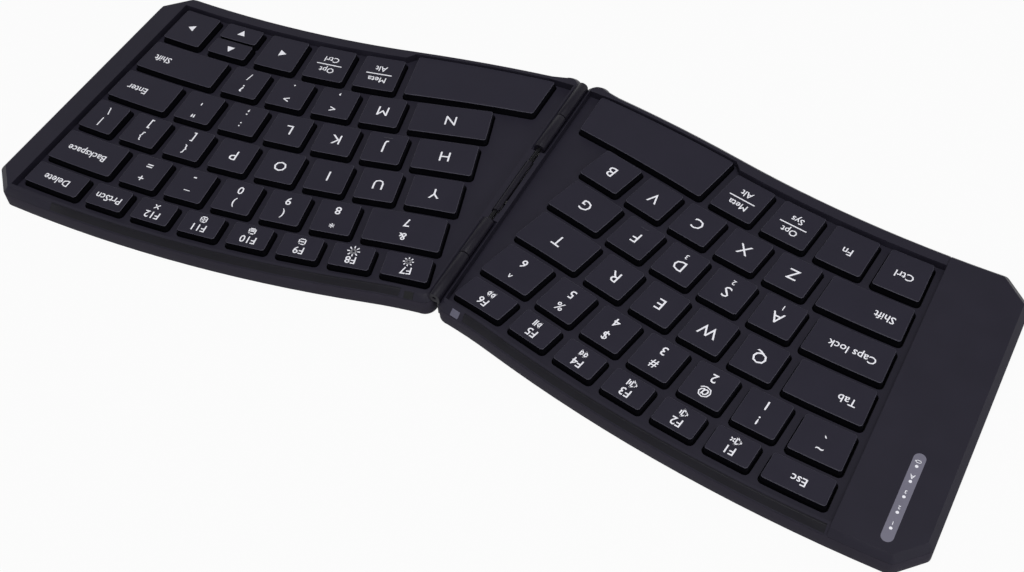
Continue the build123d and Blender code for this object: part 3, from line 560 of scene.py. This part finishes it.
class Ink:
    """Collects flat closed shapes as thin prisms on one node's keys."""

    def __init__(self):
        self.points = []
        self.faces = []

    def add_prism(self, outline, level):
        """A prism over a convex outline, from just under a level to just above it."""
        first = len(self.points)
        count = len(outline)
        for rise in (-ink_sink, ink_height):
            self.points += [(x, y, level + rise) for x, y in outline]
        self.faces.append([first + index for index in reversed(range(count))])
        self.faces.append([first + count + index for index in range(count)])
        for index in range(count):
            after = (index + 1) % count
            self.faces.append([first + index, first + after,
                               first + count + after, first + count + index])

    def add_mesh(self, points, faces):
        """A ready mesh, with its points in metres."""
        first = len(self.points)
        self.points += points
        self.faces += [[first + index for index in face] for face in faces]

    def make_piece(self, name, body, material, slot):
        """All that was collected, as one piece that rides on a body."""
        mesh = bpy.data.meshes.new(name)
        mesh.from_pydata([tuple(point) for point in self.points], [], self.faces)
        mesh.validate()
        mesh.materials.append(material)
        piece = bpy.data.objects.new(name, mesh)
        bpy.context.scene.collection.objects.link(piece)
        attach(piece, body)


print("print stands", round(ink_height / mm, 3), "mm above the caps")

# %% Outlines for signs
def stroke(start, end, width):
    """The outline of one straight stroke with square ends, in mm."""
    run = Vector(end) - Vector(start)
    side = Vector((-run.y, run.x)).normalized() * width / 2
    cap = run.normalized() * width / 2
    return [Vector(start) - cap - side, Vector(end) + cap - side, Vector(end) + cap + side,
            Vector(start) - cap + side]


def disc(radius, corners, first=0.0):
    """A regular outline, with its first corner at an angle in degrees."""
    angles = [radians(first) + 2 * pi * step / corners for step in range(corners)]
    return [Vector((radius * cos(angle), radius * sin(angle))) for angle in angles]


def moved(strokes, shift, flip=1):
    """Strokes shifted sideways, and mirrored first where flip is -1."""
    return [((flip * start[0] + shift, start[1]), (flip * end[0] + shift, end[1]))
            for start, end in strokes]


def rays(inner, outer, count=8):
    """Strokes of a small sun."""
    return list(zip(disc(inner, count), disc(outer, count)))


def ring(radius, corners=10):
    """Strokes that close a small circle."""
    points = disc(radius, corners)
    return list(zip(points, points[1:] + points[:1]))


print("a sun has", len(ring(1.0) + rays(1.0, 2.0)), "strokes")

# %% Lettering
letter_height = 4.1         # of the capitals on the letter keys, in mm
small_print_weight = 0.008  # widens the strokes of print that is smaller than the letters
side_margin = 4.2           # from a key's edge to a word that is set left or right, in mm
glyph_cache = {}


def lettering(text, weight):
    """Points and faces of a text set at size 1, standing on its baseline."""
    if (text, weight) not in glyph_cache:
        curve = bpy.data.curves.new("glyphs", "FONT")
        curve.body = text
        curve.size = 1.0
        curve.extrude = 0.5         # only the sign of z is used, to tell front from back
        curve.offset = weight
        curve.resolution_u = 2
        holder = bpy.data.objects.new("glyphs", curve)
        bpy.context.scene.collection.objects.link(holder)
        bpy.context.view_layer.update()
        shaped = holder.evaluated_get(bpy.context.evaluated_depsgraph_get())
        mesh = bpy.data.meshes.new_from_object(shaped)
        points = [vertex.co.copy() for vertex in mesh.vertices]
        faces = [list(face.vertices) for face in mesh.polygons]
        bpy.data.objects.remove(holder)
        bpy.data.curves.remove(curve)
        bpy.data.meshes.remove(mesh)
        glyph_cache[(text, weight)] = (points, faces)
    return glyph_cache[(text, weight)]


capital = max(point.y for point in lettering("H", 0.0)[0])
print("capital height of the typeface:", round(capital, 3))

# %% Print on a key
def place_on_key(key, across, up):
    """Plan point in metres of a place given in mm from a key's middle."""
    turn = key["turn"]
    x = key["middle"].x + (across * cos(turn) - up * sin(turn)) * mm
    y = key["middle"].y + (across * sin(turn) + up * cos(turn)) * mm
    return x, y


def print_text(ink, key, text, height, up=0.0, align="middle"):
    """Sets a text on a key: height is that of a capital, up the place of its middle line."""
    points, faces = lettering(text, small_print_weight if height < letter_height else 0.0)
    scale = height / capital
    low = min(point.x for point in points) * scale
    high = max(point.x for point in points) * scale
    half = key["half_width"] / mm
    shift = {
        "middle": -(low + high) / 2,
        "left": side_margin - half - low,
        "right": half - side_margin - high,
    }[align]
    level = key["middle"].z
    placed = []
    for point in points:
        x, y = place_on_key(key, point.x * scale + shift, (point.y - capital / 2) * scale + up)
        placed.append((x, y, level + (ink_height if point.z > 0 else -ink_sink)))
    ink.add_mesh(placed, faces)


def print_shape(ink, key, outline, up=0.0):
    """Sets a convex outline, given in mm from the sign's own middle, on a key."""
    corners = [place_on_key(key, point[0], point[1] + up) for point in outline]
    ink.add_prism(corners, key["middle"].z)


print("place on the esc key:", [round(part / mm, 1) for part in place_on_key(keys["esc"], 0, 0)])

# %% [markdown]
# What a key says, how large and where was read off the photo. Each kind of key has its own
# pattern, such as a figure below a sign, or two words with a line between them. Placing every
# mark by hand would take hundreds of numbers, so each kind has a few, shared by all its keys.

# %% Keys with two signs
figure_height = 3.1
figure_drop = 2.8           # all places are in mm from the key's middle to the print's
shifted_lift = 3.1
shifted_share = 0.95        # height of the upper sign, as a share of a figure's

shifted = {
    "grave": ("`", "~"), "1": ("1", "!"), "2": ("2", "@"), "3": ("3", "#"), "4": ("4", "$"),
    "5": ("5", "%"), "6": ("6", "^"), "7": ("7", "&"), "8": ("8", "*"), "9": ("9", "("),
    "0": ("0", ")"), "minus": ("-", "_"), "equals": ("=", "+"), "left_bracket": ("[", "{"),
    "right_bracket": ("]", "}"), "backslash": ("\\", "|"), "semicolon": (";", ":"),
    "quote": ("'", "\""), "comma": (",", "<"), "period": (".", ">"), "slash": ("/", "?"),
}
own_share = {"^": 0.75, "\"": 1.15, "?": 1.05}
own_lift = {"_": 1.5}
print("keys with two signs:", len(shifted))

# %% Keys with words, arrows and channel figures
word_height = 2.65
word_lift = 0.6
double_height = 2.4
double_lift = 3.3
double_drop = 2.2
rule_reach = 4.6            # half the length of the line between two words
rule_width = 0.42
rule_lift = 0.5
channel_height = 1.8
channel_drop = 3.6
channel_letter_lift = 0.7
arrow_radius = 1.75

words = {
    "esc": ("Esc", "middle"), "tab": ("Tab", "left"), "caps": ("Caps lock", "left"),
    "left_shift": ("Shift", "left"), "left_ctrl": ("Ctrl", "middle"), "fn": ("Fn", "middle"),
    "print": ("PrtScn", "middle"), "delete": ("Delete", "middle"),
    "backspace": ("Backspace", "right"), "enter": ("Enter", "right"),
    "right_shift": ("Shift", "right"),
}
double_words = {
    "left_option": ("Opt", "Sys"), "left_alt": ("Meta", "Alt"),
    "right_alt": ("Meta", "Alt"), "right_option": ("Opt", "Ctrl"),
}
channels = {"a": "1", "s": "2", "d": "3"}
arrows = {"left": 180.0, "up": 90.0, "down": 270.0, "right": 0.0}
print("keys with words:", len(words) + len(double_words), "arrows:", len(arrows))

# %% [markdown]
# The function row has small signs, such as a loudspeaker, triangles and suns. A curve could
# trace each outline, but at a millimetre and a half they read just as well when they are
# built from a few straight strokes, which start and end at the points below.

# %% Signs of the function row
row_label_height = 2.75
row_label_lift = 1.7
sign_drop = 2.0
sign_scale = 1.2
sign_stroke = 0.4

speaker = [((-1.3, -0.45), (-1.3, 0.45)), ((-1.3, 0.45), (-0.8, 0.45)),
           ((-1.3, -0.45), (-0.8, -0.45)), ((-0.8, 0.45), (0.0, 1.1)),
           ((-0.8, -0.45), (0.0, -1.1)), ((0.0, 1.1), (0.0, -1.1))]
backward = [((-0.9, 0.0), (0.0, 0.85)), ((0.0, 0.85), (0.0, -0.85)), ((0.0, -0.85), (-0.9, 0.0))]
sheet_sign = [((-0.9, -0.9), (0.9, -0.9)), ((0.9, -0.9), (0.9, 0.5)), ((0.9, 0.5), (0.4, 0.9)),
              ((0.4, 0.9), (-0.9, 0.9)), ((-0.9, 0.9), (-0.9, -0.9)), ((-0.4, 0.0), (0.4, 0.0))]

signs = {
    "f1": speaker + [((0.5, -0.4), (1.3, 0.4)), ((0.5, 0.4), (1.3, -0.4))],
    "f2": speaker + [((0.55, -0.4), (0.55, 0.4))],
    "f3": speaker + [((0.55, -0.4), (0.55, 0.4)), ((1.1, -0.75), (1.1, 0.75))],
    "f4": moved(backward, -0.15) + moved(backward, 1.15),
    "f5": moved(backward, -0.35, -1) + [((0.95, -0.8), (0.95, 0.8)), ((1.5, -0.8), (1.5, 0.8))],
    "f6": moved(backward, 0.15, -1) + moved(backward, -1.15, -1),
    "f7": ring(0.6) + rays(1.15, 1.35),
    "f8": ring(0.65) + rays(1.2, 1.65),
    "f9": sheet_sign,
    "f10": sheet_sign + [((-0.4, -0.45), (0.4, -0.45))],
    "f11": sheet_sign + [((0.0, -0.45), (0.0, 0.45))],
    "f12": [((-0.6, -0.6), (0.6, 0.6)), ((-0.6, 0.6), (0.6, -0.6))],
}
print("drawn signs:", len(signs))

# %% Print every legend
def print_key(ink, name, key):
    """Everything that is printed on one key."""
    if name in shifted:
        plain, upper = shifted[name]
        print_text(ink, key, plain, figure_height, up=-figure_drop)
        upper_height = figure_height * own_share.get(upper, shifted_share)
        print_text(ink, key, upper, upper_height, up=shifted_lift + own_lift.get(upper, 0.0))
    elif name in words:
        text, align = words[name]
        print_text(ink, key, text, word_height, up=word_lift, align=align)
    elif name in double_words:
        upper, lower = double_words[name]
        print_text(ink, key, upper, double_height, up=double_lift)
        print_text(ink, key, lower, double_height, up=-double_drop)
        rule = stroke((-rule_reach, 0.0), (rule_reach, 0.0), rule_width)
        print_shape(ink, key, rule, up=rule_lift)
    elif name in arrows:
        print_shape(ink, key, disc(arrow_radius, corners=3, first=arrows[name]))
    elif name in signs:
        print_text(ink, key, name.upper(), row_label_height, up=row_label_lift)
        for start, end in signs[name]:
            outline = stroke(Vector(start) * sign_scale, Vector(end) * sign_scale, sign_stroke)
            print_shape(ink, key, outline, up=-sign_drop)
    elif len(name) == 1:
        lift = channel_letter_lift if name in channels else 0.0
        print_text(ink, key, name.upper(), letter_height, up=lift)
        if name in channels:
            print_text(ink, key, channels[name], channel_height, up=-channel_drop)


inks = {}
for name, key in keys.items():
    print_key(inks.setdefault(key["node"], Ink()), name, key)
for node, ink in inks.items():
    if ink.points:
        ink.make_piece(f"legends_{node}", nodes[node]["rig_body"], legend_paint, "keycap")
print("legend pieces:", sum(1 for ink in inks.values() if ink.points))

# %% [markdown]
# The F and J keys carry a low bar that fingers find without looking. It is part of the cap, so
# it has the cap's finish and rides with it. A rounded box would need bevels on every edge. A
# ball that is cut in the middle, drawn apart and flattened has round ends from the start.

# %% Homing bars
bar_length = 3.2            # in mm, as are the values that follow
bar_width = 0.5
bar_rise = 0.25
bar_drop = 4.6              # below the key's middle


def homing_bar(name):
    """A low rounded bar across a key."""
    key = keys[name]
    straight = (bar_length - bar_width) / 2
    mesh = bmesh.new()
    bmesh.ops.create_uvsphere(mesh, u_segments=16, v_segments=10, radius=1.0)
    for vertex in mesh.verts:
        ball = vertex.co.copy()
        across = ball.x * bar_width / 2 + (straight if ball.x > 0 else -straight)
        x, y = place_on_key(key, across, ball.y * bar_width / 2 - bar_drop)
        vertex.co = Vector((x, y, key["middle"].z + ball.z * bar_rise * mm))
    data = bpy.data.meshes.new(f"homing_bar_{name}")
    mesh.to_mesh(data)
    mesh.free()
    data.materials.append(finishes["keycap"])
    data.shade_smooth()
    piece = bpy.data.objects.new(data.name, data)
    bpy.context.scene.collection.objects.link(piece)
    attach(piece, nodes[key["node"]]["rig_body"])


for name in ("f", "j"):
    homing_bar(name)
print("homing bars: 2")

# %% [markdown]
# ## Indicator window
# A frosted grey strip in the left rim shows five lamps. Below each lamp's bright dot a tiny
# mark says what it stands for: three channels, capitals and charge. They could be cut into
# the strip, but are as thin as the legends, so they are printed with the same tools.

# %% Marks on the indicator window
window_low, window_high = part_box("indicator_window")
window_middle = (window_low + window_high) / 2
window = {                  # what printing needs to know of a key, for the window
    "middle": Vector((window_middle.x, window_middle.y, window_high.z)), "turn": 0.0,
    "half_width": (window_high.x - window_low.x) / 2,
}
lamp_pitch = 5.45
dot_radius = 0.48
dot_corners = 14
mark_drop = 1.7             # from a lamp's dot to the middle of its mark
mark_heights = {"1": 1.1, "2": 1.1, "3": 1.1, "A": 1.5}
charge_stroke = 0.18
charge_mark = [((-0.7, -0.4), (0.6, -0.4)), ((0.6, -0.4), (0.6, 0.4)),
               ((0.6, 0.4), (-0.7, 0.4)), ((-0.7, 0.4), (-0.7, -0.4)),
               ((0.85, -0.15), (0.85, 0.15))]
window_marks = ["1", "2", "3", "A", "charge"]

ink = Ink()
for index, mark in enumerate(window_marks):
    lamp = lamp_pitch * (len(window_marks) // 2 - index)
    print_shape(ink, window, disc(dot_radius, dot_corners), up=lamp)
    if mark == "charge":
        for start, end in charge_mark:
            print_shape(ink, window, stroke(start, end, charge_stroke), up=lamp - mark_drop)
    else:
        print_text(ink, window, mark, mark_heights[mark], up=lamp - mark_drop)
ink.make_piece("indicator_marks", "left_half", legend_paint, "window")
print("window marks:", len(window_marks))

# %% [markdown]
# ## Flat cable across the hinge
# The solids hold only the two ends of the cable, which turn up under the hinge's sleeve. The
# real film is one ribbon that folds over there and opens into a loop as the keyboard closes.
# Two rigid ends would part when it does, so one thin mesh replaces them, arched over the hinge
# between the two halves.

# %% The ribbon's line
left_low, left_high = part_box("flex_cable_left")
film = 0.2 * mm             # thickness of the solids' two ends
drawn_half = 0.07 * mm      # half the ribbon's own, which stays inside them
flat_until = (1.2 * mm, 0.3 * mm)   # level points of the line before the upright
turn_rise = 0.4 * mm        # height of the turn from level to upright
ribbon_steps = 14


def ribbon_line():
    """The ribbon's middle line seen from the front, from the left end to the right end."""
    level = left_low.z + film / 2
    upright = left_high.x - film / 2
    top = left_high.z - film
    bend = abs(upright)
    rise = [(left_low.x, level), (left_low.x / 2, level)]
    rise += [(upright - gap, level) for gap in flat_until]
    rise += [(upright, level + turn_rise), (upright, (level + top) / 2)]
    arch = []
    for step in range(ribbon_steps + 1):
        angle = pi - pi * step / ribbon_steps
        arch.append((bend * cos(angle), top - bend + bend * sin(angle)))
    return rise + arch + [(-x, z) for x, z in reversed(rise)]


print("points on the ribbon's line:", len(ribbon_line()))

# %% The ribbon
def make_ribbon():
    """A thin closed strip along the line, arched over the hinge between the two halves."""
    line = ribbon_line()
    points, faces = [], []
    for index, (x, z) in enumerate(line):
        before = line[max(index - 1, 0)]
        after = line[min(index + 1, len(line) - 1)]
        run = Vector((after[0] - before[0], after[1] - before[1])).normalized()
        for sign in (1, -1):
            for y in (left_low.y, left_high.y):
                points.append((x - sign * run.y * drawn_half, y, z + sign * run.x * drawn_half))
    for index in range(len(line) - 1):
        a, b = 4 * index, 4 * index + 4
        for first, second in ((0, 1), (1, 3), (3, 2), (2, 0)):
            faces.append([a + first, b + first, b + second, a + second])
    last = 4 * (len(line) - 1)
    faces += [[0, 1, 3, 2], [last + 1, last, last + 2, last + 3]]
    mesh = bpy.data.meshes.new("flat_cable")
    mesh.from_pydata(points, [], faces)
    mesh.validate()
    mesh.materials.append(finishes["flex_film"])
    piece = bpy.data.objects.new("flat_cable", mesh)
    bpy.context.scene.collection.objects.link(piece)
    normals = bmesh.new()
    normals.from_mesh(mesh)
    bmesh.ops.recalc_face_normals(normals, faces=normals.faces)
    normals.to_mesh(mesh)
    normals.free()
    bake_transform(piece)
    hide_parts("flex_cable_left", "flex_cable_right")
    return piece


ribbon = make_ribbon()
print("ribbon points:", len(ribbon.data.vertices))

# %% [markdown]
# ## Table and light
# The photo has a plain white ground with hardly any shadow. A white floor under lamps would be
# grey away from them, and would light the keyboard from below. So the floor glows white only
# where the camera or a glossy surface looks at it, mixed with a diffuse part that keeps the
# soft shadow.

# %% The floor
glow_share = 0.95           # of the floor where it is looked at; the rest takes the shadow
table_grey = (0.4, 0.4, 0.4, 1.0)
table_roughness = 0.9
table_reach = 6.0
table_drop = 0.02 * mm      # the feet stand this much above the table, so no faces meet


def seen_directly(tree):
    """1 for rays from the camera, from gloss and through glass, else 0."""
    path = add_node(tree, "ShaderNodeLightPath")
    shiny = math_node(tree, "MAXIMUM", path.outputs["Is Glossy Ray"],
                      path.outputs["Is Transmission Ray"])
    return math_node(tree, "MAXIMUM", path.outputs["Is Camera Ray"], shiny)


def make_floor():
    """A wide plane just under the feet, for the scene and not for the model."""
    material = bpy.data.materials.new("white_table")
    material.use_nodes = True
    tree = material.node_tree
    matte = tree.nodes["Principled BSDF"]
    matte.inputs["Base Color"].default_value = table_grey
    matte.inputs["Roughness"].default_value = table_roughness
    glow = add_node(tree, "ShaderNodeEmission", inputs={"Strength": 1.0})
    mix = add_node(tree, "ShaderNodeMixShader")
    tree.links.new(math_node(tree, "MULTIPLY", seen_directly(tree), glow_share), mix.inputs["Fac"])
    tree.links.new(matte.outputs["BSDF"], mix.inputs[1])
    tree.links.new(glow.outputs["Emission"], mix.inputs[2])
    tree.links.new(mix.outputs["Shader"], tree.nodes["Material Output"].inputs["Surface"])
    mesh = bpy.data.meshes.new("table")
    corners = [(x * table_reach, y * table_reach, 0)
               for x, y in ((-1, -1), (1, -1), (1, 1), (-1, 1))]
    mesh.from_pydata(corners, [], [[0, 1, 2, 3]])
    mesh.materials.append(material)
    floor = bpy.data.objects.new("table", mesh)
    floor.location.z = -table_drop
    bpy.context.scene.collection.objects.link(floor)


make_floor()
print("table made, of reach", table_reach, "m")

# %% The studio around it
overhead_white = 0.2        # the studio is white at the horizon and dims towards its ceiling
dims_from = 0.1             # upward part of the direction where the dimming starts
dims_to = 0.75              # and where it ends
studio_light = 0.2          # what the studio gives to matte surfaces
studio_tint = (0.95, 0.95, 1.0, 1.0)


def make_world():
    """White where it is looked at, and a weak cool light elsewhere."""
    world = bpy.data.worlds.new("studio")
    world.use_nodes = True
    tree = world.node_tree
    split = add_node(tree, "ShaderNodeSeparateXYZ")
    direction = add_node(tree, "ShaderNodeTexCoord").outputs["Generated"]
    tree.links.new(direction, split.inputs["Vector"])
    height = add_node(tree, "ShaderNodeMapRange", inputs={
        "From Min": dims_from, "From Max": dims_to, "To Min": 1.0, "To Max": overhead_white})
    tree.links.new(split.outputs["Z"], height.inputs["Value"])
    shown = add_node(tree, "ShaderNodeBackground", inputs={"Color": (1, 1, 1, 1)})
    tree.links.new(height.outputs["Result"], shown.inputs["Strength"])
    light = tree.nodes["Background"]
    light.inputs["Color"].default_value = studio_tint
    light.inputs["Strength"].default_value = studio_light
    mix = add_node(tree, "ShaderNodeMixShader")
    tree.links.new(seen_directly(tree), mix.inputs["Fac"])
    tree.links.new(light.outputs["Background"], mix.inputs[1])
    tree.links.new(shown.outputs["Background"], mix.inputs[2])
    tree.links.new(mix.outputs["Shader"], tree.nodes["World Output"].inputs["Surface"])
    bpy.context.scene.world = world


make_world()
print("studio made")

# %% [markdown]
# A large soft box overhead gives even light on the key tops and leaves the sides dark, and a
# weak one from the left end brings out the cut corner there. A sun would do the same with hard
# shadows, which the photo doesn't have.

# %% Lamps
def soft_box(name, place, size, power):
    """A square area lamp that looks at the keyboard's middle."""
    data = bpy.data.lights.new(name, "AREA")
    data.size = size
    data.energy = power
    lamp = bpy.data.objects.new(name, data)
    lamp.location = place
    lamp.rotation_euler = Vector(place).to_track_quat("Z", "Y").to_euler()
    bpy.context.scene.collection.objects.link(lamp)


soft_box("top_box", (-0.15, 0.3, 1.3), size=1.0, power=13.0)
soft_box("left_box", (-1.1, 0.3, 0.8), size=0.7, power=3.0)
bpy.context.scene.view_settings.view_transform = "Standard"
print("lamps: 2")
